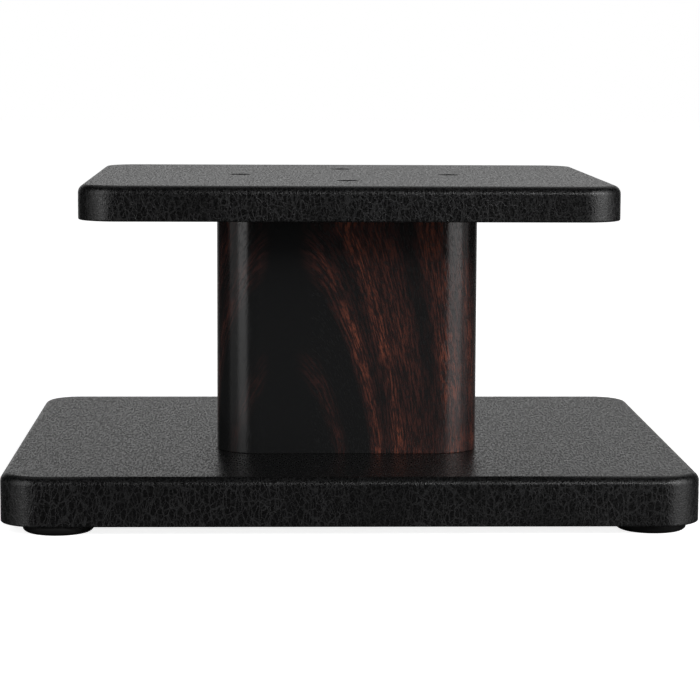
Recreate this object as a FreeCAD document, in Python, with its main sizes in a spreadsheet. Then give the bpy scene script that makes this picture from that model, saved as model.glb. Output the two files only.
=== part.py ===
import FreeCAD, Part
import enum
import math
import os

import Sketcher

# A low speaker stand: a base plate and a smaller top plate, both boards wrapped in leather-grain
# film, a hollow column of four glued walls between them, and four stuck-on rubber feet.
#
# Millimetres. X is the width, Y the depth with the front at -Y, and Z is up.
# The origin is on the floor, below the middle of the base plate.

SIZES = {
    # Both plates: outside sizes with the film on, and the boards inside
    "base_width": 305,
    "base_depth": 260,
    "base_board_thickness": 21,
    "top_width": 239.5,
    "top_depth": 207,
    "top_board_thickness": 15,
    "board_corner_radius": 17.5,
    "board_upper_edge_radius": 3.5,
    # The film on the plates, and the band of it that is turned in below
    "cover_thickness": 0.3,
    "cover_turn_in": 22,
    "liner_gap": 0.25,
    # The column: outside sizes with its own film on
    "column_width": 119,
    "column_depth": 130,
    "column_height": 108,
    "column_wall_thickness": 20,
    "column_corner_radius": 19.5,
    "column_wrap_thickness": 0.2,
    "column_wrap_seam": 0.25,
    # Countersunk screws and the threaded inserts that take them
    "screw_diameter": 5,
    "screw_head_diameter": 9.7,
    "screw_head_land": 0.25,
    "top_screw_length": 30,
    "bottom_screw_length": 35,
    "hex_key_size": 3,
    "hex_socket_depth": 2.2,
    "screw_head_sink": 0.6,
    "screw_head_clearance": 0.1,
    "screw_hole_diameter": 5.5,
    "thread_clearance": 0.05,
    "insert_diameter": 8,
    "insert_length": 13,
    "insert_clearance": 0.05,
    "insert_hole_depth": 18,
    # Feet, and where each pair was stuck on
    "foot_diameter": 30.8,
    "foot_height": 3.6,
    "foot_edge_width": 1.8,
    "foot_edge_height": 0.8,
    "foot_pad_diameter": 29,
    "foot_pad_thickness": 0.5,
    "left_feet_side_inset": 25.2,
    "left_feet_end_inset": 16.5,
    "right_feet_side_inset": 20.5,
    "right_feet_end_inset": 19.6,
}

# Heights above the floor, and the middle of the walls, where the screws stand
BASE_UNDERSIDE = "(sizes.foot_height + sizes.foot_pad_thickness)"
BASE_SURFACE = f"({BASE_UNDERSIDE} + sizes.base_board_thickness + 2 * sizes.cover_thickness)"
TOP_UNDERSIDE = f"({BASE_SURFACE} + sizes.column_height)"
TOP_SURFACE = f"({TOP_UNDERSIDE} + sizes.top_board_thickness + 2 * sizes.cover_thickness)"
WALL_MIDDLE = "(sizes.column_wrap_thickness + sizes.column_wall_thickness / 2)"
SCREW_X = f"(sizes.column_width / 2 - {WALL_MIDDLE})"
SCREW_Y = f"(sizes.column_depth / 2 - {WALL_MIDDLE})"
SCREW_PLACES = [(SCREW_X, "0"), (f"-{SCREW_X}", "0"), ("0", SCREW_Y), ("0", f"-{SCREW_Y}")]

# Hole sizes that follow from the screws
HEAD_HOLE = "(sizes.screw_head_diameter + 2 * sizes.screw_head_clearance)"
INSERT_BORE = "(sizes.screw_diameter + 2 * sizes.thread_clearance)"
INSERT_HOLE = "(sizes.insert_diameter + 2 * sizes.insert_clearance)"
CUT_MARGIN = 1  # how far a cutting profile stands out of the face that it cuts
ROUGH = 10  # sketches are drawn at about this size, and then take their sizes from the sheet


class Point(enum.IntEnum):
    """The sketcher's codes for the points of a line or an arc."""

    START = enum.auto()
    END = enum.auto()
    CENTRE = enum.auto()


START, END, CENTRE = Point
X_AXIS, Y_AXIS = -START, -END
ORIGIN = (X_AXIS, START)

doc = FreeCAD.newDocument("SpeakerStand")
nodes = []


# ---------------------------------------------------------------- sketches

def new_body(label):
    body = doc.addObject("PartDesign::Body", label)
    body.Label = label
    return body


def plane_of(body, role):
    return next(item for item in body.Origin.OriginFeatures if item.Role == role)


def new_sketch(body, name, role="XY_Plane"):
    sketch = body.newObject("Sketcher::SketchObject", name)
    sketch.AttachmentSupport = (plane_of(body, role), [""])
    sketch.MapMode = "FlatFace"
    return sketch


def measure(sketch, kind, geometry, start_value, expression):
    """Add a dimension and bind it to the sheet."""
    index = sketch.addConstraint(Sketcher.Constraint(kind, *geometry, start_value))
    sketch.setExpression(f"Constraints[{index}]", expression)


def rectangle(body, name, width, depth):
    """A rectangle centred on the body's origin."""
    sketch = new_sketch(body, name)
    corners = [FreeCAD.Vector(x, y, 0) * ROUGH / 2 for x, y in ((-1, -1), (1, -1), (1, 1), (-1, 1))]
    for side in range(4):
        sketch.addGeometry(Part.LineSegment(corners[side], corners[(side + 1) % 4]), False)
        if side:
            sketch.addConstraint(Sketcher.Constraint("Coincident", side - 1, END, side, START))
    sketch.addConstraint(Sketcher.Constraint("Coincident", 3, END, 0, START))
    for side, direction in enumerate(("Horizontal", "Vertical", "Horizontal", "Vertical")):
        sketch.addConstraint(Sketcher.Constraint(direction, side))
    sketch.addConstraint(Sketcher.Constraint("Symmetric", 0, START, 2, START, *ORIGIN))
    measure(sketch, "DistanceX", (0, START, 0, END), ROUGH, width)
    measure(sketch, "DistanceY", (1, START, 1, END), ROUGH, depth)
    return sketch


def rounded_rectangle(body, name, width, depth, radius):
    """A rectangle with four equal round corners, centred on the body's origin."""
    sketch = new_sketch(body, name)
    half, corner = 5 * ROUGH, ROUGH
    inner = half - corner
    for quarter in range(4):
        turn = FreeCAD.Rotation(FreeCAD.Vector(0, 0, 1), 90 * quarter)
        side_start = turn.multVec(FreeCAD.Vector(-inner, -half, 0))
        side_end = turn.multVec(FreeCAD.Vector(inner, -half, 0))
        centre = turn.multVec(FreeCAD.Vector(inner, -inner, 0))
        circle = Part.Circle(centre, FreeCAD.Vector(0, 0, 1), corner)
        first = math.radians(90 * quarter - 90)
        sketch.addGeometry(Part.LineSegment(side_start, side_end), False)
        sketch.addGeometry(Part.ArcOfCircle(circle, first, first + math.pi / 2), False)
    for edge in range(8):
        sketch.addConstraint(Sketcher.Constraint("Tangent", edge, END, (edge + 1) % 8, START))
    for side, direction in ((0, "Horizontal"), (2, "Vertical"), (4, "Horizontal"), (6, "Vertical")):
        sketch.addConstraint(Sketcher.Constraint(direction, side))
    for arc in (1, 3, 5):
        sketch.addConstraint(Sketcher.Constraint("Equal", arc, arc + 2))
    sketch.addConstraint(Sketcher.Constraint("Symmetric", 1, CENTRE, 5, CENTRE, *ORIGIN))
    measure(sketch, "DistanceX", (6, START, 2, START), 2 * half, width)
    measure(sketch, "DistanceY", (0, START, 4, START), 2 * half, depth)
    measure(sketch, "Radius", (1,), corner, radius)
    return sketch


def screw_circles(body, name, diameter):
    """Four circles where the screws stand: two on the X axis and two on the Y axis."""
    sketch = new_sketch(body, name)
    away, radius = 5 * ROUGH, ROUGH / 3
    for x, y in ((away, 0), (-away, 0), (0, away), (0, -away)):
        circle = Part.Circle(FreeCAD.Vector(x, y, 0), FreeCAD.Vector(0, 0, 1), radius)
        sketch.addGeometry(circle, False)
    sketch.addConstraint(Sketcher.Constraint("PointOnObject", 0, CENTRE, X_AXIS))
    sketch.addConstraint(Sketcher.Constraint("PointOnObject", 2, CENTRE, Y_AXIS))
    for near, far in ((0, 1), (2, 3)):
        sketch.addConstraint(Sketcher.Constraint("Symmetric", near, CENTRE, far, CENTRE, *ORIGIN))
    for circle in (1, 2, 3):
        sketch.addConstraint(Sketcher.Constraint("Equal", 0, circle))
    measure(sketch, "DistanceX", (*ORIGIN, 0, CENTRE), away, SCREW_X)
    measure(sketch, "DistanceY", (*ORIGIN, 2, CENTRE), away, SCREW_Y)
    measure(sketch, "Diameter", (0,), 2 * radius, diameter)
    return sketch


def hexagon(body, name, across_flats):
    """A regular hexagon round the body's origin."""
    sketch = new_sketch(body, name)
    radius = ROUGH / 2
    points = [FreeCAD.Vector(radius * math.cos(n * math.pi / 3), radius * math.sin(n * math.pi / 3), 0)
              for n in range(6)]
    for side in range(6):
        sketch.addGeometry(Part.LineSegment(points[side], points[(side + 1) % 6]), False)
    ring = sketch.addGeometry(Part.Circle(FreeCAD.Vector(), FreeCAD.Vector(0, 0, 1), radius), True)
    sketch.addConstraint(Sketcher.Constraint("Coincident", ring, CENTRE, *ORIGIN))
    for side in range(6):
        following = (side + 1) % 6
        sketch.addConstraint(Sketcher.Constraint("Coincident", side, END, following, START))
        sketch.addConstraint(Sketcher.Constraint("PointOnObject", side, START, ring))
        if following:
            sketch.addConstraint(Sketcher.Constraint("Equal", side, following))
    sketch.addConstraint(Sketcher.Constraint("PointOnObject", 0, START, X_AXIS))
    measure(sketch, "Diameter", (ring,), 2 * radius, f"{across_flats} / cos(30 deg)")
    return sketch


def turned_profile(body, name, points, role="XZ_Plane", offset=None):
    """A closed outline of (radius, height) points, to turn about the sketch's upright axis."""
    sketch = new_sketch(body, name, role)
    if offset:
        sketch.setExpression(".AttachmentOffset.Base.x", offset)
    count = len(points)
    angles = [2 * math.pi * n / count for n in range(count)]
    rough = [FreeCAD.Vector(ROUGH * (1 + math.cos(angle)), ROUGH * math.sin(angle), 0) for angle in angles]
    for side in range(count):
        sketch.addGeometry(Part.LineSegment(rough[side], rough[(side + 1) % count]), False)
    for side in range(count):
        sketch.addConstraint(Sketcher.Constraint("Coincident", side, END, (side + 1) % count, START))
    for side, (radius, height) in enumerate(points):
        if radius == "0":
            sketch.addConstraint(Sketcher.Constraint("PointOnObject", side, START, Y_AXIS))
        else:
            measure(sketch, "DistanceX", (*ORIGIN, side, START), rough[side].x, radius)
        measure(sketch, "DistanceY", (*ORIGIN, side, START), rough[side].y, height)
    return sketch


# ---------------------------------------------------------------- features

def pad(body, sketch, length):
    feature = body.newObject("PartDesign::Pad", f"{sketch.Name}_pad")
    feature.Profile = sketch
    feature.setExpression("Length", length)
    return feature


def pocket_up(body, sketch, depth=None):
    """Cut upwards from the body's base plane, right through if no depth is given."""
    feature = body.newObject("PartDesign::Pocket", f"{sketch.Name}_pocket")
    feature.Profile = sketch
    feature.Reversed = True
    if depth:
        feature.setExpression("Length", depth)
    else:
        feature.Type = "ThroughAll"
    return feature


def turn(body, sketch, kind):
    """Turn a profile about its upright axis: kind is Revolution to add, Groove to cut."""
    feature = body.newObject(f"PartDesign::{kind}", f"{sketch.Name}_turn")
    feature.Profile = sketch
    feature.ReferenceAxis = (sketch, ["V_Axis"])
    feature.Angle = 360
    return feature


def mirror(body, feature, role):
    """Repeat a feature on the other side of the body."""
    copy = body.newObject("PartDesign::Mirrored", f"{feature.Name}_mirrored")
    copy.Originals = [feature]
    copy.MirrorPlane = (plane_of(body, role), [""])
    body.Tip = copy
    return copy


def round_rim(body, radius):
    """Round every edge of the body's upper rim."""
    doc.recompute()
    base = body.Tip
    rim = [f"Edge{number}" for number, edge in enumerate(base.Shape.Edges, 1)
           if all(abs(vertex.Z - base.Shape.BoundBox.ZMax) < 1e-6 for vertex in edge.Vertexes)]
    fillet = body.newObject("PartDesign::Fillet", f"{body.Name}_rim")
    fillet.Base = (base, rim)
    fillet.setExpression("Radius", radius)
    return fillet


def put(item, x="0", y="0", z="0"):
    """Bind an object's place to the sheet."""
    for axis, expression in (("x", x), ("y", y), ("z", z)):
        item.setExpression(f".Placement.Base.{axis}", expression)
    return item


def combine(kind, label, base, tool):
    """A Part::Cut or Part::Common of two objects."""
    result = doc.addObject(f"Part::{kind}", label)
    result.Label = label
    result.Base = base
    result.Tool = tool
    return result


def keep(item):
    """Mark an object as one of the stand's pieces."""
    nodes.append(item)
    return item


# ---------------------------------------------------------------- the two plates

def shaped_plate(label, width, depth, thickness, grown, underside):
    """A board's shape: round corners, a well rounded upper rim and a square lower one.

    grown is how far the shape stands outside the board itself, as the film over it does.
    """
    body = new_body(label)
    outline = rounded_rectangle(body, f"{label}_outline", width, depth,
                                f"sizes.board_corner_radius + {grown}")
    pad(body, outline, thickness)
    round_rim(body, f"sizes.board_upper_edge_radius + {grown}")
    return put(body, z=underside)


def countersink(body, thickness, from_above):
    """Four screw holes right through a board, each with a cone and a sunk seat for the head."""
    head, shank = f"{HEAD_HOLE} / 2", "sizes.screw_hole_diameter / 2"
    seat = "(sizes.screw_head_sink - sizes.cover_thickness + sizes.screw_head_land)"
    depths = [("0", f"-{CUT_MARGIN}"), (head, f"-{CUT_MARGIN}"), (head, seat),
              (shank, f"{seat} + {head} - {shank}"),
              (shank, f"{thickness} + {CUT_MARGIN}"), ("0", f"{thickness} + {CUT_MARGIN}")]
    points = [(radius, f"{thickness} - ({depth})" if from_above else depth)
              for radius, depth in depths]
    for name, role, across, offset in (("side", "XZ_Plane", "YZ_Plane", SCREW_X),
                                       ("end", "YZ_Plane", "XZ_Plane", SCREW_Y)):
        sketch = turned_profile(body, f"{body.Name}_{name}_hole", points, role, offset)
        mirror(body, turn(body, sketch, "Groove"), across)


def wrapped_plate(plate, underside, screws_from_above):
    """A board, the film over it and the liner below it."""
    film = "sizes.cover_thickness"
    width, depth = f"sizes.{plate}_width", f"sizes.{plate}_depth"
    board_size = (f"{width} - 2 * {film}", f"{depth} - 2 * {film}", f"sizes.{plate}_board_thickness")
    board_underside = f"{underside} + {film}"
    cover_hole, liner_hole = HEAD_HOLE, "sizes.screw_hole_diameter"
    if not screws_from_above:
        cover_hole, liner_hole = liner_hole, cover_hole

    board = shaped_plate(f"{plate}_board", *board_size, "0", board_underside)
    countersink(board, f"sizes.{plate}_board_thickness", screws_from_above)
    keep(board)

    # The film is what is left of a slightly larger board when the board itself and the opening
    # between the turned-in edges are taken out of it.
    outside = shaped_plate(f"{plate}_cover_outside", width, depth,
                           f"sizes.{plate}_board_thickness + 2 * {film}", film, underside)
    pocket_up(outside, screw_circles(outside, f"{plate}_cover_holes", cover_hole))
    inside = shaped_plate(f"{plate}_cover_inside", *board_size, "0", board_underside)
    opening = new_body(f"{plate}_cover_opening")
    pad(opening, rectangle(opening, f"{plate}_opening_outline", f"{width} - 2 * sizes.cover_turn_in",
                           f"{depth} - 2 * sizes.cover_turn_in"), film)
    put(opening, z=underside)
    removed = doc.addObject("Part::MultiFuse", f"{plate}_cover_removed")
    removed.Shapes = [inside, opening]
    keep(combine("Cut", f"{plate}_cover", outside, removed))

    liner = new_body(f"{plate}_liner")
    liner_inset = "2 * (sizes.cover_turn_in + sizes.liner_gap)"
    pad(liner, rectangle(liner, f"{plate}_liner_outline", f"{width} - {liner_inset}",
                         f"{depth} - {liner_inset}"), film)
    pocket_up(liner, screw_circles(liner, f"{plate}_liner_holes", liner_hole))
    keep(put(liner, z=underside))


# ---------------------------------------------------------------- the column

def column_outline(label, wrap):
    """The column's full outline, with the film's thickness added if wrap is given."""
    body = new_body(label)
    inset = f"2 * (sizes.column_wrap_thickness - {wrap})"
    outline = rounded_rectangle(body, f"{label}_outline", f"sizes.column_width - {inset}",
                                f"sizes.column_depth - {inset}", f"sizes.column_corner_radius + {wrap}")
    pad(body, outline, "sizes.column_height")
    return put(body, z=BASE_SURFACE)


def column_wall(name, width, depth, x, y):
    """One board of the column, with an insert's hole in each end, routed to the column's outline."""
    board = new_body(f"{name}_wall_board")
    pad(board, rectangle(board, f"{name}_wall_outline", width, depth), "sizes.column_height")
    bore, depth_in = f"{INSERT_HOLE} / 2", "sizes.insert_hole_depth"
    levels = {"lower": (f"-{CUT_MARGIN}", depth_in),
              "upper": (f"sizes.column_height - {depth_in}", f"sizes.column_height + {CUT_MARGIN}")}
    for end, (bottom, top) in levels.items():
        points = [("0", bottom), (bore, bottom), (bore, top), ("0", top)]
        turn(board, turned_profile(board, f"{name}_wall_{end}_hole", points), "Groove")
    put(board, x, y, BASE_SURFACE)
    outline = column_outline(f"{name}_wall_limit", "0")
    return keep(combine("Common", f"column_{name}_wall", board, outline))


def column():
    """Front and back walls over the full width, and side walls glued between them."""
    film, wall = "sizes.column_wrap_thickness", "sizes.column_wall_thickness"
    full_width = f"sizes.column_width - 2 * {film}"
    between = f"sizes.column_depth - 2 * {film} - 2 * {wall}"
    column_wall("front", full_width, wall, "0", f"-{SCREW_Y}")
    column_wall("back", full_width, wall, "0", SCREW_Y)
    column_wall("left", wall, between, f"-{SCREW_X}", "0")
    column_wall("right", wall, between, SCREW_X, "0")


def column_wrap():
    """The film round the column, whose two edges meet in the middle of the back."""
    wrap = column_outline("column_wrap", "sizes.column_wrap_thickness")
    inset = "2 * sizes.column_wrap_thickness"
    pocket_up(wrap, rounded_rectangle(wrap, "column_wrap_inside", f"sizes.column_width - {inset}",
                                      f"sizes.column_depth - {inset}", "sizes.column_corner_radius"))
    seam = rectangle(wrap, "column_wrap_seam", "sizes.column_wrap_seam", "sizes.column_wall_thickness")
    seam.setExpression(".AttachmentOffset.Base.y", "sizes.column_depth / 2")
    pocket_up(wrap, seam)
    keep(wrap)


# ---------------------------------------------------------------- fasteners

def screw(label, length):
    """A countersunk screw that hangs down from the middle of its head, with a hexagon socket."""
    body = new_body(label)
    head, shank = "sizes.screw_head_diameter / 2", "sizes.screw_diameter / 2"
    land = "sizes.screw_head_land"
    points = [("0", "0"), (head, "0"), (head, f"-{land}"),
              (shank, f"-{land} - {head} + {shank}"), (shank, f"-{length}"), ("0", f"-{length}")]
    turn(body, turned_profile(body, f"{label}_profile", points), "Revolution")
    socket = hexagon(body, f"{label}_socket", "sizes.hex_key_size")
    cut = body.newObject("PartDesign::Pocket", f"{label}_socket_pocket")
    cut.Profile = socket
    cut.setExpression("Length", "sizes.hex_socket_depth")
    return body


def insert(label):
    """A threaded sleeve that hangs down from its mouth."""
    body = new_body(label)
    bore, outside, length = f"{INSERT_BORE} / 2", "sizes.insert_diameter / 2", "sizes.insert_length"
    points = [(bore, "0"), (outside, "0"), (outside, f"-{length}"), (bore, f"-{length}")]
    turn(body, turned_profile(body, f"{label}_profile", points), "Revolution")
    return body


def fastener_set(label, item, mouth, points_up):
    """One copy of a fastener at each of the four screw places, as separate solids of one node."""
    copies = []
    for number, (x, y) in enumerate(SCREW_PLACES, 1):
        copy = doc.addObject("App::Link", f"{label}_{number}")
        copy.LinkedObject = item
        if points_up:
            copy.Placement = FreeCAD.Placement(FreeCAD.Vector(), FreeCAD.Rotation(FreeCAD.Vector(1, 0, 0), 180))
        copies.append(put(copy, x, y, mouth))
    group = doc.addObject("Part::Compound", label)
    group.Label = label
    group.Links = copies
    return keep(group)


def fasteners():
    sleeve = insert("insert")
    fastener_set("top_inserts", sleeve, TOP_UNDERSIDE, False)
    fastener_set("bottom_inserts", sleeve, BASE_SURFACE, True)
    fastener_set("top_screws", screw("top_screw", "sizes.top_screw_length"),
                 f"{TOP_SURFACE} - sizes.screw_head_sink", False)
    fastener_set("bottom_screws", screw("bottom_screw", "sizes.bottom_screw_length"),
                 f"{BASE_UNDERSIDE} + sizes.screw_head_sink", True)


# ---------------------------------------------------------------- feet

def foot(name, x, y):
    """A rubber disc with a sloped lower edge, and the adhesive disc that holds it."""
    body = new_body(f"{name}_foot")
    radius, height = "sizes.foot_diameter / 2", "sizes.foot_height"
    points = [("0", "0"), (f"{radius} - sizes.foot_edge_width", "0"),
              (radius, "sizes.foot_edge_height"), (radius, height), ("0", height)]
    turn(body, turned_profile(body, f"{name}_foot_profile", points), "Revolution")
    keep(put(body, x, y))
    disc = doc.addObject("Part::Cylinder", f"{name}_foot_pad")
    disc.Label = f"{name}_foot_pad"
    disc.setExpression("Radius", "sizes.foot_pad_diameter / 2")
    disc.setExpression("Height", "sizes.foot_pad_thickness")
    keep(put(disc, x, y, "sizes.foot_height"))


def feet():
    for end, away in (("front", "-"), ("rear", "")):
        for side, outward in (("left", "-"), ("right", "")):
            x = f"{outward}(sizes.base_width / 2 - sizes.{side}_feet_side_inset)"
            y = f"{away}(sizes.base_depth / 2 - sizes.{side}_feet_end_inset)"
            foot(f"{end}_{side}", x, y)


# ---------------------------------------------------------------- the whole stand

def make_sheet():
    sheet = doc.addObject("Spreadsheet::Sheet", "sizes")
    for row, (alias, value) in enumerate(SIZES.items(), 1):
        sheet.set(f"A{row}", alias)
        sheet.set(f"B{row}", str(value))
        sheet.setAlias(f"B{row}", alias)
    doc.recompute()


def check():
    """Every object is sound, every cut takes something away, and every piece is a closed solid."""
    for item in doc.Objects:
        if "Invalid" in item.State or "Error" in item.State:
            raise RuntimeError(f"{item.Label} failed: {item.State}")
        if item.TypeId in ("PartDesign::Pocket", "PartDesign::Groove"):
            if item.Shape.Volume >= item.BaseFeature.Shape.Volume - 1e-3:
                raise RuntimeError(f"{item.Label} cuts nothing")
    for item in nodes:
        if item.Shape.isNull() or not item.Shape.isValid() or not item.Shape.Solids:
            raise RuntimeError(f"{item.Label} has no valid solid")


def export():
    os.makedirs("parts", exist_ok=True)
    for item in nodes:
        item.Shape.exportStep(f"parts/{item.Label}.step")
        print(f"{item.Label:24s} {len(item.Shape.Solids)} solids {item.Shape.Volume:12.1f} mm3")


make_sheet()
wrapped_plate("base", BASE_UNDERSIDE, screws_from_above=False)
wrapped_plate("top", TOP_UNDERSIDE, screws_from_above=True)
column()
column_wrap()
fasteners()
feet()
doc.recompute()
check()
export()
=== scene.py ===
"""A low speaker stand: film-wrapped plates and column, screws, feet, and a plain studio round them."""

import math

import bmesh
import bpy
from bpy.props import FloatProperty, FloatVectorProperty, PointerProperty
from mathutils import Matrix, Vector


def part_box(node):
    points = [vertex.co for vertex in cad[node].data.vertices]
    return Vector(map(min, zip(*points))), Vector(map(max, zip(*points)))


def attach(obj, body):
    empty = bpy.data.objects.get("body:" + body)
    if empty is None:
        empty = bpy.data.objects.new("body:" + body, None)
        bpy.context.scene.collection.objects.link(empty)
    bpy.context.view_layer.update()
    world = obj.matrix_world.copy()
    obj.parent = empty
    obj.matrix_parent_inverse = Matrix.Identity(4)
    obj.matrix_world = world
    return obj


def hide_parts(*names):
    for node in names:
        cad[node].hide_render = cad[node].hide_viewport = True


bl_info = {
    "name": "Speaker Stand",
    "version": (1, 0, 0),
    "blender": (4, 5, 0),
    "location": "3D View > Sidebar > Stand",
    "description": "Wraps a low speaker stand in its films and sets it in a plain studio",
    "category": "Object",
}

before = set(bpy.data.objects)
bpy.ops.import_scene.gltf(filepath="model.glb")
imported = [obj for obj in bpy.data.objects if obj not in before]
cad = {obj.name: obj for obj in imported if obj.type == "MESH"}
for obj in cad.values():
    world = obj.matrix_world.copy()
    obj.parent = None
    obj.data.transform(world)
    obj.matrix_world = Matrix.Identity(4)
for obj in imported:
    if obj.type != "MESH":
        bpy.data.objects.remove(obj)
FEET = [f"{end}_{side}" for end in ("front", "rear") for side in ("left", "right")]
WALLS = [f"column_{side}_wall" for side in ("front", "back", "left", "right")]
NEAR = 1e-6  # metres: points that lie closer than this are at the same place


# ---------------------------------------------------------------- settings

def length(name, description, millimetres):
    return FloatProperty(name=name, description=description, default=millimetres / 1000,
                         min=0, precision=5, subtype="DISTANCE", unit="LENGTH")


def colour(name, description, *shade):
    return FloatVectorProperty(name=name, description=description, default=shade,
                               size=3, min=0, max=1, subtype="COLOR")


class StandSizes(bpy.types.PropertyGroup):
    """Sizes of the pieces that are modelled here"""

    plate_film: length("Plate film", "Thickness of the film on the plates", 0.3)
    plate_corner: length("Plate corner", "Radius of a plate's corners, with its film", 17.8)
    plate_upper_edge: length("Upper edge", "Radius of a plate's upper edge", 3.8)
    plate_lower_edge: length("Lower edge", "Radius of a plate's lower edge", 0.7)
    turn_in: length("Turn-in", "Width of the film that is turned in below a plate", 22)
    pleat: length("Pleat", "Depth of the pleats where the film turns round a corner", 0.16)
    head_hole: length("Head hole", "Diameter of the hole over a screw's head", 9.9)
    shank_hole: length("Shank hole", "Diameter of the hole for a screw's shank", 5.5)
    hole_roll: length("Hole roll", "How far the film sinks round a screw hole", 0.16)
    column_film: length("Column film", "Thickness of the film on the column", 0.2)
    column_corner: length("Column corner", "Radius of the column's corners, with its film", 19.7)
    column_seam: length("Column seam", "Gap between the film's ends at the back", 0.25)
    column_end: length("Column end", "How far the film's cut ends are broken", 0.14)
    screw_head: length("Screw head", "Diameter of a countersunk head", 9.7)
    screw_land: length("Screw land", "Upright edge of a countersunk head", 0.25)
    screw_shank: length("Screw shank", "Diameter of a screw's shank", 5)
    screw_pitch: length("Screw pitch", "Pitch of a screw's thread", 0.8)
    socket_flats: length("Socket", "Width across flats of a screw's socket", 3)
    socket_depth: length("Socket depth", "Depth of a screw's socket", 2.2)
    foot_edge_width: length("Foot edge width", "Width of a foot's sloped lower edge", 1.8)
    foot_edge_height: length("Foot edge height", "Height of a foot's sloped lower edge", 0.8)


class StandColours(bpy.types.PropertyGroup):
    """Colours of the finishes"""

    leather: colour("Leather film", "Black film of the plates", 0.0028, 0.0028, 0.0029)
    # Painted highlight: the creases are coloured lighter to stand in for light caught on their walls.
    painted_crease_highlight: colour("Crease", "Creases in the film of the plates", 0.02, 0.02, 0.0205)
    wood_ground: colour("Wood ground", "Near-black ground of the wood film", 0.0095, 0.0097, 0.01)
    wood_vein: colour("Wood vein", "Darker red-brown of the wood film", 0.036, 0.017, 0.0155)
    wood_flame: colour("Wood flame", "Brightest red-brown of the wood film", 0.16, 0.05, 0.031)
    rubber: colour("Rubber", "Black rubber of the feet", 0.002, 0.002, 0.002)
    lining: colour("Lining", "Black sheet below the plates", 0.009, 0.009, 0.0095)
    board: colour("Board", "Raw fibreboard inside the films", 0.3, 0.2, 0.115)
    foam: colour("Foam", "Foam tape that holds the feet", 0.02, 0.02, 0.02)
    zinc: colour("Zinc", "Plating of the threaded inserts", 0.55, 0.54, 0.5)
    black_oxide: colour("Black oxide", "Blackened steel of the screws", 0.012, 0.012, 0.013)


# ---------------------------------------------------------------- material helpers

def add(tree, kind, settings=None, **inputs):
    """A node with its settings, and each input linked to a socket or given a value."""
    node = tree.nodes.new(kind)
    for name, value in (settings or {}).items():
        setattr(node, name, value)
    for name, value in inputs.items():
        feed(tree, node.inputs[name.replace("_", " ")], value)
    return node


def feed(tree, socket, value):
    if isinstance(value, bpy.types.NodeSocket):
        tree.links.new(value, socket)
    else:
        socket.default_value = value


def calc(tree, operation, *values, clamp=False):
    """The output of a Math node."""
    node = add(tree, "ShaderNodeMath", {"operation": operation, "use_clamp": clamp})
    for socket, value in zip(node.inputs, values):
        feed(tree, socket, value)
    return node.outputs[0]


def fade(tree, value, low, high, start=0.0, end=1.0):
    """A smooth change from start to end while value goes from low to high."""
    node = add(tree, "ShaderNodeMapRange", {"interpolation_type": "SMOOTHSTEP"}, Value=value)
    for name, number in (("From Min", low), ("From Max", high), ("To Min", start), ("To Max", end)):
        node.inputs[name].default_value = number
    return node.outputs["Result"]


def blend(tree, factor, first, second):
    """A mix of two colours."""
    node = add(tree, "ShaderNodeMix", {"data_type": "RGBA"})
    for socket, value in ((node.inputs[0], factor), (node.inputs[6], first), (node.inputs[7], second)):
        feed(tree, socket, value)
    return node.outputs[2]


def part_of(tree, vector, axis):
    """One part of a vector: X, Y or Z."""
    return add(tree, "ShaderNodeSeparateXYZ", Vector=vector).outputs[axis]


def noise(tree, vector, scale, detail=2.0, roughness=0.5):
    return add(tree, "ShaderNodeTexNoise", Vector=vector, Scale=scale, Detail=detail,
               Roughness=roughness).outputs["Fac"]


def stretched(tree, vector, scale=(1, 1, 1), turn=(0, 0, 0), shift=(0, 0, 0)):
    return add(tree, "ShaderNodeMapping", Vector=vector, Scale=scale, Rotation=turn,
               Location=shift).outputs[0]


def warped(tree, vector, scale, amount):
    """Coordinates pushed about by a coarse noise, in metres."""
    swirl = add(tree, "ShaderNodeTexNoise", Vector=vector, Scale=scale, Detail=2.0)
    centred = add(tree, "ShaderNodeVectorMath", {"operation": "SUBTRACT"})
    tree.links.new(swirl.outputs["Color"], centred.inputs[0])
    centred.inputs[1].default_value = (0.5, 0.5, 0.5)
    push = add(tree, "ShaderNodeVectorMath", {"operation": "MULTIPLY_ADD"})
    tree.links.new(centred.outputs[0], push.inputs[0])
    push.inputs[1].default_value = (amount,) * 3
    tree.links.new(vector, push.inputs[2])
    return push.outputs[0]


def new_material(name, **settings):
    """A material with a Principled surface, its node tree and its Object coordinates."""
    material = bpy.data.materials.new(name)
    material.use_nodes = True
    tree = material.node_tree
    surface = tree.nodes["Principled BSDF"]
    for socket, value in settings.items():
        surface.inputs[socket.replace("_", " ")].default_value = value
    place = add(tree, "ShaderNodeTexCoord").outputs["Object"]
    return material, tree, surface, place


def paint(tree, surface, colour_output, roughness_output=None):
    """Link a surface's colour, and its roughness where that changes from place to place."""
    tree.links.new(colour_output, surface.inputs["Base Color"])
    if roughness_output is not None:
        tree.links.new(roughness_output, surface.inputs["Roughness"])


def bump(tree, surface, height, depth):
    """Relief of the given depth in metres for heights from 0 to 1."""
    relief = add(tree, "ShaderNodeBump", Height=height, Strength=1.0, Distance=depth)
    tree.links.new(relief.outputs[0], surface.inputs["Normal"])


def shade(colour_value, factor=1.0):
    return (*(channel * factor for channel in colour_value), 1.0)


def shades(tree, factor, colour_value, low, high):
    """A colour that goes from low to high times colour_value while factor goes from 0 to 1."""
    return blend(tree, factor, shade(colour_value, low), shade(colour_value, high))


# ---------------------------------------------------------------- finishes

def creases(tree, vector, scale, width):
    """0 in the creases between leather cells of about 1 / scale metres, 1 on the cells."""
    cells = add(tree, "ShaderNodeTexVoronoi", {"feature": "DISTANCE_TO_EDGE"}, Vector=vector,
                Scale=scale, Randomness=1.0)
    return fade(tree, cells.outputs["Distance"], 0.0, width)


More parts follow.
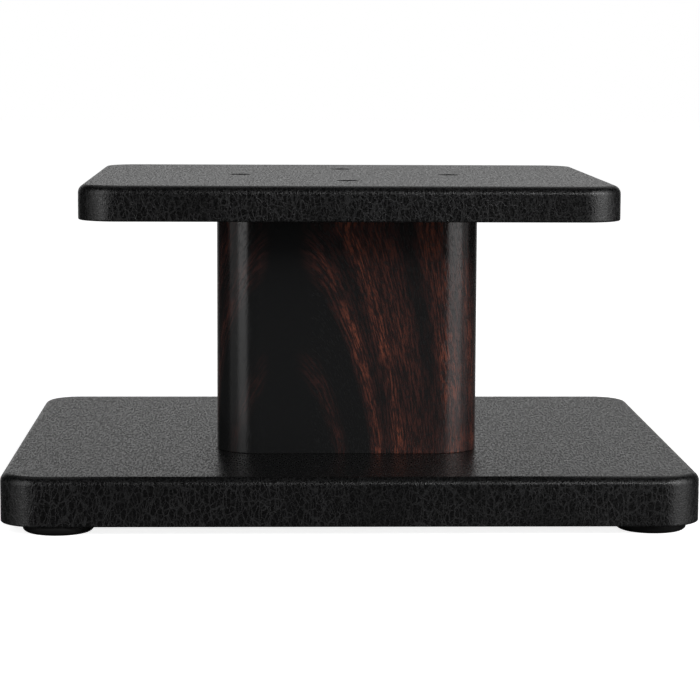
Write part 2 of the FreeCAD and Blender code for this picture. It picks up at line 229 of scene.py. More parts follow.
def leather_film(colours):
    """Black film with a pressed grain: small pebbles, crossed by long fine creases that are coloured
    lighter as a painted highlight.

    The creases come and go in patches, and are weaker on faces that look upwards, which keeps the
    painted highlight mostly to upright faces.
    """
    material, tree, surface, place = new_material("leather_grain_film", Specular_IOR_Level=0.33)
    loose = warped(tree, place, 170.0, 0.0016)
    upright = stretched(tree, loose, (1.0, 1.0, 0.5), (0.25, 0.2, 0.3))
    slanted = stretched(tree, loose, (1.0, 0.8, 0.45), (0.5, 0.35, 0.4), (0.3, 0.1, 0.2))
    patches = noise(tree, place, 30.0, 2.0)
    pebbles = noise(tree, place, 1900.0, 2.0, 0.6)
    sheen = noise(tree, stretched(tree, place, (1.0, 0.2, 1.0)), 1200.0, 1.0)
    grain = creases(tree, loose, 900.0, 0.25)
    folds_and_painted_highlight = calc(tree, "MULTIPLY", creases(tree, upright, 460.0, 0.065),
                 creases(tree, slanted, 250.0, 0.04))
    folds_and_painted_highlight = calc(tree, "MAXIMUM", folds_and_painted_highlight, fade(tree, patches, 0.35, 0.7, 0.0, 0.6))
    # Faces that look upwards get weaker creases, and so less of the creases' painted highlight.
    upward = part_of(tree, add(tree, "ShaderNodeNewGeometry").outputs["Normal"], "Z")
    folds_and_painted_highlight = calc(tree, "MAXIMUM", folds_and_painted_highlight, fade(tree, upward, 0.25, 0.55, 0.0, 0.65))
    relief = calc(tree, "MULTIPLY_ADD", folds_and_painted_highlight, 0.3, calc(tree, "MULTIPLY", pebbles, 0.45))
    bump(tree, surface, calc(tree, "MULTIPLY_ADD", grain, 0.25, relief), 0.00011)
    ground = shades(tree, pebbles, colours.leather, 0.4, 1.6)
    dull = calc(tree, "MULTIPLY_ADD", sheen, 0.8, calc(tree, "MULTIPLY", pebbles, 0.7))
    # The lighter crease colour is a painted highlight, not the film's own colour.
    paint(tree, surface, blend(tree, folds_and_painted_highlight, shade(colours.painted_crease_highlight), ground),
          fade(tree, dull, 0.6, 0.9, 0.17, 0.38))
    return material


# The wood figure's bands, from the dark heart outwards: distance in millimetres and strength
WOOD_BANDS = [(0, 0.0), (20, 0.0), (25, 0.4), (29, 0.03), (37.5, 0.03), (40, 0.6), (42.5, 0.95),
              (45, 0.35), (47.5, 0.3), (49.8, 0.75), (52, 0.9), (55, 0.5), (60, 0.55), (64, 0.45),
              (67, 0.15), (70.5, 0.15), (74, 0.7), (80, 0.8), (85, 0.4), (90, 0.75), (97, 0.2),
              (108, 0.05), (118, 0.5), (126, 0.15), (140, 0.65), (147, 0.1), (165, 0.35), (175, 0.05),
              (192, 0.6), (205, 0.08), (230, 0.4), (260, 0.0)]
WOOD_REACH = 0.26  # metres from the heart to the last band
HEART_OFFSET = 0.028  # metres from the middle of the front to the heart, on its left
FLAME_HEIGHT = 0.102  # metres over which the flame closes, from the film's lower end upwards
HEART_LEAN = 0.0019  # square metres, added there to the square of the distance from the heart


def wood_film(colours, half_way, foot):
    """Dark wood-figured film. Its flame opens downwards from a heart to the left of the middle.

    half_way is the length of film from the seam to the middle of the front, foot the height of
    its lower end, both in metres.
    """
    material, tree, surface, _ = new_material("wood_figure_film", Specular_IOR_Level=0.27)
    flat = add(tree, "ShaderNodeUVMap", {"uv_map": "flat_film"}).outputs[0]
    wavy = warped(tree, stretched(tree, flat, (1.0, 0.35, 1.0)), 60.0, 0.003)
    across, rise = part_of(tree, wavy, "X"), part_of(tree, flat, "Y")
    from_heart = calc(tree, "SUBTRACT", across, half_way - HEART_OFFSET)
    up = calc(tree, "DIVIDE", calc(tree, "SUBTRACT", rise, foot), FLAME_HEIGHT, clamp=True)
    lean = calc(tree, "MULTIPLY", calc(tree, "POWER", up, 1.35), HEART_LEAN)
    ring = calc(tree, "SQRT", calc(tree, "MULTIPLY_ADD", from_heart, from_heart, lean))

    bands = add(tree, "ShaderNodeValToRGB", Fac=calc(tree, "DIVIDE", ring, WOOD_REACH))
    stops = bands.color_ramp.elements
    for number, (millimetres, share) in enumerate(WOOD_BANDS):
        position = millimetres / 1000 / WOOD_REACH
        stop = stops[number] if number < 2 else stops.new(position)  # a new ramp has two
        stop.position = position
        stop.color = (share, share, share, 1)
    right_side = fade(tree, from_heart, 0.002, 0.017)
    left_side = calc(tree, "MAXIMUM", fade(tree, from_heart, -0.012, -0.006, 0.7, 0.0),
                     fade(tree, from_heart, -0.07, -0.035, 1.0, 0.0))
    sides = calc(tree, "MAXIMUM", right_side, left_side)
    inner = calc(tree, "MULTIPLY", fade(tree, up, 0.45, 0.85),
                 fade(tree, ring, 0.0485, 0.0495, 0.25, 0.0))
    low_fill = calc(tree, "MULTIPLY", fade(tree, up, 0.2, 0.5, 0.4, 0.0),
                    fade(tree, ring, 0.056, 0.062))
    banded = calc(tree, "MAXIMUM", bands.outputs[0], low_fill)
    strength = calc(tree, "MULTIPLY", calc(tree, "MULTIPLY", banded, sides),
                    calc(tree, "SUBTRACT", 1.0, inner))

    long_grain, short_grain = (
        add(tree, "ShaderNodeCombineXYZ", X=ring, Y=calc(tree, "MULTIPLY", rise, shortness)).outputs[0]
        for shortness in (0.07, 0.2))
    fibres = fade(tree, noise(tree, long_grain, 1500.0, 3.0, 0.65), 0.42, 0.6)
    pores = fade(tree, noise(tree, short_grain, 1800.0, 1.0), 0.52, 0.64)
    pores = calc(tree, "MULTIPLY", pores, sides)
    lowered = stretched(tree, flat, shift=(0.0, 0.02, 0.0))
    patches = fade(tree, noise(tree, lowered, 38.0, 2.0), 0.3, 0.7, 0.65, 1.0)
    lit = calc(tree, "MULTIPLY", strength, calc(tree, "MULTIPLY_ADD", fibres, 0.75, 0.25))
    lit = calc(tree, "MULTIPLY", lit, patches, clamp=True)
    vein = blend(tree, fade(tree, lit, 0.0, 0.35), shade(colours.wood_ground), shade(colours.wood_vein))
    flame = blend(tree, fade(tree, lit, 0.25, 0.95), vein, shade(colours.wood_flame))
    dark_pores = calc(tree, "MULTIPLY", pores, 0.75)
    paint(tree, surface, blend(tree, dark_pores, flame, shade(colours.wood_ground)),
          fade(tree, pores, 0.0, 1.0, 0.17, 0.3))
    relief = calc(tree, "MULTIPLY_ADD", pores, -0.7, calc(tree, "MULTIPLY", fibres, 0.3))
    bump(tree, surface, relief, 0.00002)
    return material


def rubber(colours):
    """Moulded black rubber, matt and faintly dusty."""
    material, tree, surface, place = new_material("foot_rubber", Specular_IOR_Level=0.2)
    grit = noise(tree, place, 2600.0, 2.0)
    dust = fade(tree, noise(tree, place, 160.0, 3.0), 0.45, 0.8)
    paint(tree, surface, shades(tree, dust, colours.rubber, 1.0, 2.2),
          fade(tree, grit, 0.2, 0.8, 0.55, 0.75))
    bump(tree, surface, grit, 0.00004)
    return material


PAINTED_SHADE_EDGE = 0.001  # metres below the outward face of a plate's board, where its black painted shade ends
PAINTED_SHADE_BLUR = 0.0002


def fibreboard(colours):
    """Raw board, of pressed fibres with darker flecks, painted black near its outward faces as painted
    shade in the screw holes.
    """
    material, tree, surface, place = new_material("raw_fibreboard", Specular_IOR_Level=0.2)
    fibres = noise(tree, stretched(tree, warped(tree, place, 300.0, 0.002), (1, 1, 3)), 900.0, 4.0, 0.7)
    flecks = fade(tree, noise(tree, place, 2200.0, 1.0), 0.62, 0.74)
    ground = shades(tree, fibres, colours.board, 0.75, 1.25)
    flecked = blend(tree, flecks, ground, shade(colours.board, 0.3))
    height = part_of(tree, place, "Z")
    top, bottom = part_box("top_board")[1].z - PAINTED_SHADE_EDGE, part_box("base_board")[0].z + PAINTED_SHADE_EDGE
    # Painted shade: black near the boards' outward faces, which shows only inside the screw holes.
    painted_hole_shade = calc(tree, "MAXIMUM", fade(tree, height, top - PAINTED_SHADE_BLUR, top + PAINTED_SHADE_BLUR),
                  fade(tree, height, bottom - PAINTED_SHADE_BLUR, bottom + PAINTED_SHADE_BLUR, 1.0, 0.0))
    paint(tree, surface, blend(tree, painted_hole_shade, flecked, shade(colours.leather)),
          fade(tree, fibres, 0.2, 0.8, 0.8, 0.95))
    bump(tree, surface, fibres, 0.00008)
    return material


def lining(colours):
    """Thin black sheet of matted fibres."""
    material, tree, surface, place = new_material("black_lining", Specular_IOR_Level=0.25,
                                                  Sheen_Weight=0.15)
    strands, crossing = (
        noise(tree, stretched(tree, warped(tree, place, swirl, 0.006), way), scale, 3.0, 0.7)
        for swirl, way, scale in ((220.0, (1.0, 2.6, 1.0), 800.0), (260.0, (2.6, 1.0, 1.0), 760.0)))
    mat = calc(tree, "MAXIMUM", strands, crossing)
    paint(tree, surface, shades(tree, fade(tree, mat, 0.4, 0.75), colours.lining, 0.6, 1.9),
          fade(tree, mat, 0.3, 0.8, 0.95, 0.7))
    bump(tree, surface, mat, 0.00009)
    return material


def foam_tape(colours):
    """Closed foam with fine cells."""
    material, tree, surface, place = new_material("foam_tape", Roughness=0.85, Specular_IOR_Level=0.25)
    cells = add(tree, "ShaderNodeTexVoronoi", Vector=place, Scale=4200.0).outputs["Distance"]
    paint(tree, surface, shades(tree, cells, colours.foam, 0.6, 1.5))
    bump(tree, surface, cells, 0.00006)
    return material


def plated_steel(colours):
    """Zinc plate, drawn round the sleeve."""
    material, tree, surface, place = new_material("zinc_plated_steel", Metallic=1.0)
    drawn = noise(tree, stretched(tree, place, (1, 1, 14)), 500.0, 3.0)
    paint(tree, surface, shades(tree, drawn, colours.zinc, 0.75, 1.1),
          fade(tree, drawn, 0.2, 0.8, 0.28, 0.45))
    bump(tree, surface, drawn, 0.00001)
    return material


def blackened_steel(colours):
    """Black oxide, with steel showing faintly through."""
    material, tree, surface, place = new_material("black_oxide_steel", Metallic=0.35,
                                                  Specular_IOR_Level=0.5)
    mottle = noise(tree, place, 1400.0, 3.0)
    paint(tree, surface, shades(tree, mottle, colours.black_oxide, 0.7, 1.9),
          fade(tree, mottle, 0.2, 0.8, 0.32, 0.5))
    bump(tree, surface, mottle, 0.000012)
    return material


# ---------------------------------------------------------------- modelling helpers

def block(low, high):
    """A bmesh block between two corners."""
    mesh = bmesh.new()
    bmesh.ops.create_cube(mesh, size=1)
    bmesh.ops.scale(mesh, vec=high - low, verts=mesh.verts)
    bmesh.ops.translate(mesh, vec=(low + high) / 2, verts=mesh.verts)
    return mesh


def upright_edges(mesh):
    return [edge for edge in mesh.edges if (edge.verts[0].co.xy - edge.verts[1].co.xy).length < NEAR]


def level(items, height):
    """Those of the edges or faces that lie flat at that height."""
    return [item for item in items if all(abs(vert.co.z - height) < NEAR for vert in item.verts)]


def round_edges(mesh, edges, radius, segments):
    bmesh.ops.bevel(mesh, geom=edges, offset=radius, offset_type="OFFSET", segments=segments,
                    profile=0.5, affect="EDGES", clamp_overlap=False, material=-1)


def edges_of(verts):
    """The edges at these vertices, each one once and in the same order every time."""
    return list(dict.fromkeys(edge for vert in verts for edge in vert.link_edges))


def extrude_ring(mesh, ring):
    """Extrude a loop of edges on the spot. Returns the new loop and its vertices."""
    made = bmesh.ops.extrude_edge_only(mesh, edges=ring)["geom"]
    verts = [item for item in made if isinstance(item, bmesh.types.BMVert)]
    edges = [item for item in made
             if isinstance(item, bmesh.types.BMEdge) and set(item.verts).issubset(verts)]
    return edges, verts


def finish_piece(mesh, name, material, replaced, sharp=40):
    """Turn a bmesh into a piece that rides on the stand in place of CAD nodes."""
    for face in mesh.faces:
        face.smooth = True
    for edge in mesh.edges:
        edge.smooth = not edge.is_manifold or edge.calc_face_angle() < math.radians(sharp)
    data = bpy.data.meshes.new(name)
    mesh.to_mesh(data)
    mesh.free()
    data.materials.append(material)
    piece = bpy.data.objects.new(name, data)
    bpy.context.scene.collection.objects.link(piece)
    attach(piece, "root")
    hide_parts(*replaced)
    return piece


def thicken(piece, thickness):
    """Give a film its thickness, inwards, and keep its flat faces flat in the light."""
    wall = piece.modifiers.new("Film", "SOLIDIFY")
    wall.thickness = thickness
    wall.offset = -1
    wall.use_even_offset = True
    piece.modifiers.new("Flat faces", "WEIGHTED_NORMAL").keep_sharp = True


def middle(node):
    """The middle of a node's box."""
    low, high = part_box(node)
    return (low + high) / 2


def screw_places():
    """Where the four screws stand: in the middle of each wall."""
    return [middle(wall).xy for wall in WALLS]


# ---------------------------------------------------------------- the plates' films

ROLL_WIDTH = 3  # how wide the sunk rim of a hole is, in depths
PLEATS = 4  # at each corner of a plate


def punch(mesh, face, places, radius, roll):
    """Put round holes through a flat face. The film sinks a little round each one."""
    outline, height = list(face.edges), face.verts[0].co.z
    widest, steps = radius + ROLL_WIDTH * roll, 4
    bmesh.ops.delete(mesh, geom=[face], context="FACES_ONLY")
    rings = []
    for x, y in places:
        circle = bmesh.ops.create_circle(mesh, cap_ends=False, segments=48, radius=widest,
                                         matrix=Matrix.Translation((x, y, height)))["verts"]
        rings.append((Vector((x, y, 0)), edges_of(circle)))
    around = [edge for centre, ring in rings for edge in ring]
    bmesh.ops.triangle_fill(mesh, use_beauty=True, edges=outline + around)
    for centre, ring in rings:
        reach = widest
        for step in range(1, steps + 1):
            quarter = math.pi / 2 * step / steps
            closer = radius + ROLL_WIDTH * roll * (1 - math.sin(quarter))
            ring, verts = extrude_ring(mesh, ring)
            bmesh.ops.scale(mesh, vec=(closer / reach, closer / reach, 1),
                            space=Matrix.Translation(-centre), verts=verts)
            for vert in verts:
                vert.co.z = height - roll * (1 - math.cos(quarter))
            reach = closer


def turn_in_film(mesh, face, low, high, width, pleat):
    """Carry the film in under the board, with pleats that run together at the corners."""
    ring, steps = list(face.edges), 5
    bmesh.ops.delete(mesh, geom=[face], context="FACES_ONLY")
    for step in range(1, steps + 1):
        ring, verts = extrude_ring(mesh, ring)
        for vert in verts:
            inner = Vector((min(max(vert.co.x, low.x + width), high.x - width),
                            min(max(vert.co.y, low.y + width), high.y - width)))
            away = vert.co.xy - inner
            at_corner = min(abs(away.x), abs(away.y)) > NEAR
            turn = math.atan2(away.y, away.x)
            fold = abs(math.cos(2 * PLEATS * turn)) ** 5 if at_corner else 0
            place = inner + away * (steps - step) / (steps - step + 1)
            vert.co = (*place, low.z + pleat * fold * math.sin(math.pi * step / steps))
    bmesh.ops.remove_doubles(mesh, verts=verts, dist=NEAR)


def plate_skin(sizes, cover, hole):
    """The outer face of one plate's film."""
    low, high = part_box(cover)
    mesh = block(low, high)
    round_edges(mesh, upright_edges(mesh), sizes.plate_corner, 22)
    round_edges(mesh, level(mesh.edges, high.z), sizes.plate_upper_edge, 10)
    round_edges(mesh, level(mesh.edges, low.z), sizes.plate_lower_edge, 4)
    top, = level(mesh.faces, high.z)
    punch(mesh, top, screw_places(), hole / 2, sizes.hole_roll)
    bottom, = level(mesh.faces, low.z)
    turn_in_film(mesh, bottom, low, high, sizes.turn_in, sizes.pleat)
    bmesh.ops.recalc_face_normals(mesh, faces=mesh.faces)
    return mesh


class STAND_OT_plate_films(bpy.types.Operator):
    """Wrap both plates in leather-grain film, punched for the screws and turned in below"""

    bl_idname = "stand.plate_films"
    bl_label = "Plate Films"

    def execute(self, context):
        sizes = context.scene.stand_sizes
        finish = leather_film(context.scene.stand_colours)
        for plate, hole in (("base", sizes.shank_hole), ("top", sizes.head_hole)):
            skin = plate_skin(sizes, f"{plate}_cover", hole)
            piece = finish_piece(skin, f"{plate}_leather_film", finish,
                                 [f"{plate}_cover"])
            thicken(piece, sizes.plate_film)
        return {"FINISHED"}


# ---------------------------------------------------------------- the column's film

def map_flat(mesh):
    """Map the film as it lies flat, in metres: across from its left end at the seam, and up.

    The film has one row of faces here, so each vertex below has one above it.
    """
    here = min((vert for vert in mesh.verts if len(vert.link_edges) == 2),
               key=lambda vert: (vert.co.x, vert.co.z))
    way, distance = {}, 0.0
    while here:
        along = None
        for edge in here.link_edges:
            other = edge.other_vert(here)
            if abs(other.co.z - here.co.z) > NEAR:
                way[here] = way[other] = distance
            elif other not in way:
                along = other
        distance += (along.co - here.co).length if along else 0
        here = along
    layer = mesh.loops.layers.uv.new("flat_film")
    for face in mesh.faces:
        for loop in face.loops:
            loop[layer].uv = (way[loop.vert], loop.vert.co.z)
    return distance


def slit_seam(mesh, back, seam):
    """Cut the film open down the middle of the back."""
    def at_back():
        return [face for face in mesh.faces if abs(face.calc_center_median().y - back) < NEAR]

    for side in (-seam / 2, seam / 2):
        face = next(face for face in at_back() if min(vert.co.x for vert in face.verts) < side
                    < max(vert.co.x for vert in face.verts))
        bmesh.ops.bisect_plane(mesh, geom=[face, *face.edges, *face.verts],
                               plane_co=(side, 0, 0), plane_no=(1, 0, 0))
    strip = [face for face in at_back() if abs(face.calc_center_median().x) < seam / 4]
    bmesh.ops.delete(mesh, geom=strip, context="FACES")


class STAND_OT_column_film(bpy.types.Operator):
    """Wrap the column in wood-figured film, from a butt seam at the back"""

    bl_idname = "stand.column_film"
    bl_label = "Column Film"

    def execute(self, context):
        sizes = context.scene.stand_sizes
        low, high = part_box("column_wrap")
        mesh = block(low, high)
        round_edges(mesh, upright_edges(mesh), sizes.column_corner, 28)
        ends = level(mesh.faces, low.z) + level(mesh.faces, high.z)
        bmesh.ops.delete(mesh, geom=ends, context="FACES_ONLY")
        slit_seam(mesh, high.y, sizes.column_seam)
        length_round = map_flat(mesh)
        for height in (low.z + 3 * sizes.column_end, high.z - 3 * sizes.column_end):
            bmesh.ops.bisect_plane(mesh, geom=[*mesh.faces, *mesh.edges, *mesh.verts],
                                   plane_co=(0, 0, height), plane_no=(0, 0, 1))
        rims = [vert for vert in mesh.verts
                if min(abs(vert.co.z - low.z), abs(vert.co.z - high.z)) < NEAR]
        shrink = 1 - 2 * sizes.column_end / (high.x - low.x)
        bmesh.ops.scale(mesh, vec=(shrink, shrink, 1), verts=rims)
        bmesh.ops.recalc_face_normals(mesh, faces=mesh.faces)
        finish = wood_film(context.scene.stand_colours, length_round / 2, low.z)
        piece = finish_piece(mesh, "column_wood_film", finish, ["column_wrap"])
        thicken(piece, sizes.column_film)
        return {"FINISHED"}


# ---------------------------------------------------------------- screws

THREAD_DEPTH = 0.6  # of a thread's pitch
FIRST_SPIN, NEXT_SPIN = 0.4, 1.3  # radians: each screw stops at an angle of its own


def turned(profile, steps=48):
    """A closed bmesh turned from (radius, height) points that begin and end on the axis."""
    mesh = bmesh.new()
    chain = [mesh.verts.new((radius, 0, height)) for radius, height in profile]
    edges = [mesh.edges.new(pair) for pair in zip(chain, chain[1:])]
    bmesh.ops.spin(mesh, geom=chain + edges, cent=(0, 0, 0), axis=(0, 0, 1), angle=2 * math.pi,
                   steps=steps, use_merge=True)
    bmesh.ops.remove_doubles(mesh, verts=mesh.verts, dist=NEAR)
    bmesh.ops.recalc_face_normals(mesh, faces=mesh.faces)
    return mesh


def cut_socket(mesh, across, depth, land):
    """Sink a hexagon socket with a broken edge into the top face of a screw's head."""
    top = max(vert.co.z for vert in mesh.verts)
    bmesh.ops.delete(mesh, geom=level(mesh.faces, top), context="FACES")
    rim = [edge for edge in mesh.edges if edge.is_boundary]
    reach, cone = across / 2 / math.cos(math.radians(30)), 0.4 * across
    mouth = bmesh.ops.create_circle(mesh, cap_ends=False, segments=6, radius=reach + land,
                                    matrix=Matrix.Translation((0, 0, top)))
    bmesh.ops.subdivide_edges(mesh, edges=edges_of(mouth["verts"]), cuts=7)
    ring = [edge for edge in mesh.edges if edge.is_wire]
    bmesh.ops.bridge_loops(mesh, edges=rim + ring)
    for sink, size in ((land, reach), (depth, reach), (depth + cone, 0.01 * across)):
        ring, verts = extrude_ring(mesh, ring)
        now = max(vert.co.xy.length for vert in verts)
        bmesh.ops.scale(mesh, vec=(size / now, size / now, 1), verts=verts)
        for vert in verts:
            vert.co.z = top - sink
    bmesh.ops.pointmerge(mesh, verts=verts, merge_co=(0, 0, top - depth - cone))


def screw_thread(mesh, start, end, crest, pitch):
    """A closed helical ridge between two heights, on a core that runs just inside the crest."""
    root, steps = crest - THREAD_DEPTH * pitch, 24
    tooth = [(root, 0.0), (crest, -0.4 * pitch), (crest, -0.55 * pitch), (root, -pitch)]
    chain = [mesh.verts.new((radius, 0, start + height)) for radius, height in tooth]
    edges = [mesh.edges.new(pair) for pair in zip(chain, chain[1:])]
    turns = int((start - end) / pitch) - 1
    bmesh.ops.spin(mesh, geom=chain + edges, cent=(0, 0, 0), axis=(0, 0, 1),
                   dvec=(0, 0, -pitch / steps), angle=2 * math.pi * turns, steps=steps * turns)
    bmesh.ops.remove_doubles(mesh, verts=mesh.verts, dist=NEAR)
    open_ends = [edge for edge in mesh.edges if edge.is_boundary]
    bmesh.ops.holes_fill(mesh, edges=open_ends, sides=0)


def screw(sizes, head_top, tip):
    """One countersunk screw on the axis, with its head up."""
    head, shank, land = sizes.screw_head / 2, sizes.screw_shank / 2, sizes.screw_land
    eased = 0.15 * land
    neck = head_top - land - head + shank
    plain = neck - 3 * sizes.screw_pitch
    core = shank - THREAD_DEPTH * sizes.screw_pitch
    mesh = turned([(0, head_top), (head - eased, head_top), (head, head_top - eased),
                   (head, head_top - land), (shank, neck), (shank, plain), (core, plain - shank + core),
                   (core, tip + 0.5 * core), (0.6 * core, tip), (0, tip)])
    cut_socket(mesh, sizes.socket_flats, sizes.socket_depth, eased * 2)
    thread = bmesh.new()
    screw_thread(thread, plain + sizes.screw_pitch, tip + 0.4 * core, shank, sizes.screw_pitch)
    bmesh.ops.recalc_face_normals(thread, faces=thread.faces)
    add_copy(mesh, thread, Matrix.Identity(4))
    thread.free()
    return mesh


def add_copy(mesh, part, place):
    """Add a copy of one bmesh to another."""
    data = bpy.data.meshes.new("copy")
    part.to_mesh(data)
    data.transform(place)
    mesh.from_mesh(data)
    bpy.data.meshes.remove(data)


class STAND_OT_screws(bpy.types.Operator):
    """Make the countersunk socket screws that hold the plates to the column"""

    bl_idname = "stand.screws"
    bl_label = "Screws"

    def execute(self, context):
        sizes = context.scene.stand_sizes
        finish = blackened_steel(context.scene.stand_colours)
        for plate, upside_down in (("top", False), ("bottom", True)):
            node = f"{plate}_screws"
            low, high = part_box(node)
            one = screw(sizes, (high.z - low.z) / 2, (low.z - high.z) / 2)
            flip = Matrix.Rotation(math.pi if upside_down else 0, 4, "X")
            mesh = bmesh.new()
            for number, (x, y) in enumerate(screw_places()):
                spin = Matrix.Rotation(FIRST_SPIN + NEXT_SPIN * number, 4, "Z")
                add_copy(mesh, one, Matrix.Translation((x, y, middle(node).z)) @ flip @ spin)
            one.free()
            finish_piece(mesh, f"{plate}_socket_screws", finish, [node], 30)
        return {"FINISHED"}


# ---------------------------------------------------------------- feet

def foot_profile(low, high, width, rise):
    """Half section of a foot: a grip ring below, and a lower edge that slopes and rolls upright."""
    radius, height = (high.x - low.x) / 2, high.z - low.z
    floor, dish = radius - width, 0.2 * rise
    points = [(0, dish), (0.4 * floor, dish), (0.44 * floor, 0), (0.56 * floor, 0),
              (0.6 * floor, 1.5 * dish), (0.68 * floor, 1.5 * dish), (0.72 * floor, 0), (floor, 0)]
    steps = 8
    for along in (step / steps for step in range(1, steps + 1)):
        points.append((floor + width * along * (1.3 - 0.3 * along), 1.6 * rise * along ** 1.6))
    points += [(radius, height - dish), (radius - 0.4 * dish, height - 0.3 * dish),
               (radius - dish, height), (0, height)]
    return points


class STAND_OT_feet(bpy.types.Operator):
    """Mould the four rubber feet, with a grip ring below"""

    bl_idname = "stand.feet"
    bl_label = "Feet"

    def execute(self, context):
        sizes = context.scene.stand_sizes
        finish = rubber(context.scene.stand_colours)
        for foot in FEET:
            low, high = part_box(f"{foot}_foot")
            mesh = turned(foot_profile(low, high, sizes.foot_edge_width, sizes.foot_edge_height), 72)
            centre = middle(f"{foot}_foot")
            bmesh.ops.translate(mesh, vec=(centre.x, centre.y, low.z), verts=mesh.verts)
            finish_piece(mesh, f"{foot}_rubber_foot", finish, [f"{foot}_foot"], 50)
        return {"FINISHED"}


# ---------------------------------------------------------------- CAD pieces that stay

class STAND_OT_inner_parts(bpy.types.Operator):
    """Finish the boards, linings, inserts and foot tape, which keep their CAD shapes"""

    bl_idname = "stand.inner_parts"
    bl_label = "Inner Parts"

    def execute(self, context):
        colours = context.scene.stand_colours
        kept = ((fibreboard(colours), ["base_board", "top_board", *WALLS]),
                (lining(colours), ["base_liner", "top_liner"]),
                (plated_steel(colours), ["top_inserts", "bottom_inserts"]),
                (foam_tape(colours), [f"{foot}_foot_pad" for foot in FEET]))
        for finish, names in kept:
            for name in names:
                cad[name].data.materials.clear()
                cad[name].data.materials.append(finish)
        return {"FINISHED"}


# ---------------------------------------------------------------- studio

CAMERA_PLACE = (-0.03599, -1.21419, 0.20987)
CAMERA_LENS, CAMERA_FRAME = 131.58, 36  # millimetres
CAMERA_YAW, CAMERA_PITCH, CAMERA_ROLL = 0.0321, 0.1183, 0.0043  # to the right, down, clockwise

# Each lamp's name, azimuth, distance, (width, height), height of its middle and brightness
LAMPS = [("left_softbox", -47.0, 1.2, (0.5, 1.2), 0.6, 3.2),
         ("left_outer_softbox", -72.0, 1.2, (0.57, 1.2), 0.6, 0.8),
         ("right_softbox", 56.0, 1.2, (0.82, 1.2), 0.6, 3.7),
         ("right_outer_softbox", 86.0, 1.2, (0.47, 1.2), 0.6, 0.7),
         ("front_strip", 36.0, 1.5, (1.5, 0.12), 0.75, 20.0),
         ("back_softbox", 165.0, 1.3, (1.2, 0.8), 1.1, 0.4),
         ("high_softbox", 180.0, 0.9, (1.6, 0.9), 1.6, 0.32)]

# How bright the surroundings are: to the camera they are 1
GLOW_BEHIND, GLOW_ELSEWHERE = 0.53, 0.015


def aim_camera():
    data = bpy.data.cameras.new("camera")
    data.lens, data.sensor_width = CAMERA_LENS, CAMERA_FRAME
    data.clip_start, data.clip_end = 0.01, 50
    camera = bpy.data.objects.new("camera", data)
    bpy.context.scene.collection.objects.link(camera)
    aim = Matrix.Rotation(-CAMERA_YAW, 4, "Z") @ Matrix.Rotation(math.pi / 2 - CAMERA_PITCH, 4, "X")
    camera.matrix_world = Matrix.Translation(CAMERA_PLACE) @ aim @ Matrix.Rotation(CAMERA_ROLL, 4, "Z")
    bpy.context.scene.camera = camera


def softbox(name, azimuth, distance, size, height, brightness):
    """A flat lamp, (width, height) in size, turned to the stand, with its middle at that height.

    Azimuth is in degrees from the camera's side, to the right.
    """
    data = bpy.data.lights.new(name, "AREA")
    data.shape, data.size, data.size_y = "RECTANGLE", *size
    data.energy = brightness * math.pi * size[0] * size[1]
    lamp = bpy.data.objects.new(name, data)
    bpy.context.scene.collection.objects.link(lamp)
    angle = math.radians(azimuth)
    lamp.location = (distance * math.sin(angle), -distance * math.cos(angle), height)
    tilt = math.atan2(max(height - size[1] / 2, 0), distance)
    lamp.rotation_euler = (math.pi / 2 - tilt, 0, angle)


def pale_floor():
    """A pale floor: white to the camera, but for the stand's shadow, and dark to reflections, darker in
    front than behind as a painted falloff of the lamps' light.
    """
    mesh = bmesh.new()
    bmesh.ops.create_circle(mesh, cap_ends=True, segments=96, radius=6)
    data = bpy.data.meshes.new("floor")
    mesh.to_mesh(data)
    mesh.free()
    floor = bpy.data.objects.new("floor", data)
    bpy.context.scene.collection.objects.link(floor)
    material = bpy.data.materials.new("pale_floor")
    material.use_nodes = True
    tree = material.node_tree
    tree.nodes.clear()
    place = add(tree, "ShaderNodeTexCoord").outputs["Object"]
    away = add(tree, "ShaderNodeVectorMath", {"operation": "LENGTH"})
    tree.links.new(place, away.inputs[0])
    path = add(tree, "ShaderNodeLightPath")
    lift = fade(tree, away.outputs["Value"], 0.3, 0.8, 0.86, 1.0)
    seen = add(tree, "ShaderNodeAddShader")
    glow = add(tree, "ShaderNodeEmission", Strength=lift)
    shadowed = add(tree, "ShaderNodeBsdfDiffuse", Color=(0.8, 0.8, 0.8, 1))
    tree.links.new(glow.outputs[0], seen.inputs[0])
    tree.links.new(shadowed.outputs[0], seen.inputs[1])
    # Painted shade: to reflections the floor is darker in front than behind, as if the lamps lit it
    # less there.
    painted_falloff_tone = fade(tree, part_of(tree, place, "Y"), -0.3, 0.3, 0.1, 0.16)
    unseen = add(tree, "ShaderNodeBsdfPrincipled", Base_Color=painted_falloff_tone, Roughness=0.08)
    mixed = add(tree, "ShaderNodeMixShader")
    tree.links.new(path.outputs["Is Camera Ray"], mixed.inputs[0])
    tree.links.new(unseen.outputs[0], mixed.inputs[1])
    tree.links.new(seen.outputs[0], mixed.inputs[2])
    end = add(tree, "ShaderNodeOutputMaterial")
    tree.links.new(mixed.outputs[0], end.inputs["Surface"])
    data.materials.append(material)


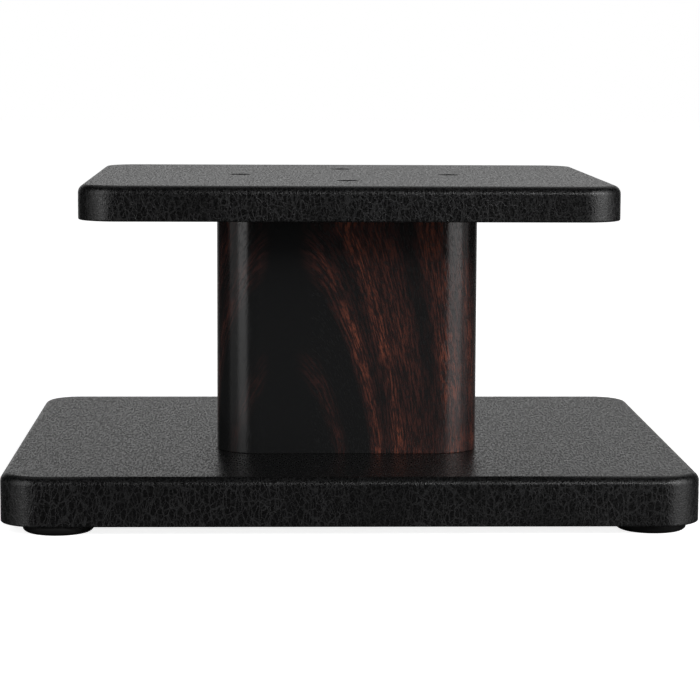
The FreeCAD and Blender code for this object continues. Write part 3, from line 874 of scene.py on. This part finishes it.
def white_surroundings():
    """White to the camera and, low down behind the stand, pale to reflections. Dim elsewhere."""
    world = bpy.data.worlds.new("studio")
    bpy.context.scene.world = world
    world.use_nodes = True
    tree = world.node_tree
    direction = add(tree, "ShaderNodeTexCoord").outputs["Generated"]
    low_down = fade(tree, part_of(tree, direction, "Z"), 0.2, 0.34, 1.0, 0.0)
    behind = fade(tree, part_of(tree, direction, "Y"), 0.8, 0.95)
    path = add(tree, "ShaderNodeLightPath")
    mirrored = calc(tree, "MAXIMUM", path.outputs["Is Glossy Ray"], path.outputs["Is Transmission Ray"])
    glow = calc(tree, "MULTIPLY", mirrored, calc(tree, "MULTIPLY", low_down, behind))
    glow = calc(tree, "MULTIPLY", glow, GLOW_BEHIND)
    pale = calc(tree, "MAXIMUM", path.outputs["Is Camera Ray"], glow)
    strength = calc(tree, "MAXIMUM", pale, GLOW_ELSEWHERE)
    background = tree.nodes["Background"]
    background.inputs["Color"].default_value = (1, 1, 1, 1)
    tree.links.new(strength, background.inputs["Strength"])


class STAND_OT_studio(bpy.types.Operator):
    """Set up the pale floor, the white surroundings, the lamps and the camera"""

    bl_idname = "stand.studio"
    bl_label = "Studio"

    def execute(self, context):
        aim_camera()
        pale_floor()
        white_surroundings()
        for lamp in LAMPS:
            softbox(*lamp)
        context.scene.view_settings.view_transform = "Standard"
        return {"FINISHED"}


# ---------------------------------------------------------------- panel and start

class STAND_PT_panel(bpy.types.Panel):
    """The stand's pieces"""

    bl_label = "Speaker Stand"
    bl_idname = "STAND_PT_panel"
    bl_space_type = "VIEW_3D"
    bl_region_type = "UI"
    bl_category = "Stand"

    def draw(self, context):
        for operator in OPERATORS:
            self.layout.operator(operator.bl_idname)


OPERATORS = (STAND_OT_studio, STAND_OT_plate_films, STAND_OT_column_film, STAND_OT_screws,
             STAND_OT_feet, STAND_OT_inner_parts)
CLASSES = (StandSizes, StandColours, *OPERATORS, STAND_PT_panel)


def register():
    for item in CLASSES:
        bpy.utils.register_class(item)
    bpy.types.Scene.stand_sizes = PointerProperty(type=StandSizes)
    bpy.types.Scene.stand_colours = PointerProperty(type=StandColours)


def unregister():
    del bpy.types.Scene.stand_sizes
    del bpy.types.Scene.stand_colours
    for item in reversed(CLASSES):
        bpy.utils.unregister_class(item)


def main():
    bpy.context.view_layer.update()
    register()
    bpy.ops.stand.studio()
    bpy.ops.stand.plate_films()
    bpy.ops.stand.column_film()
    bpy.ops.stand.screws()
    bpy.ops.stand.feet()
    bpy.ops.stand.inner_parts()


if __name__ == "__main__":
    main()
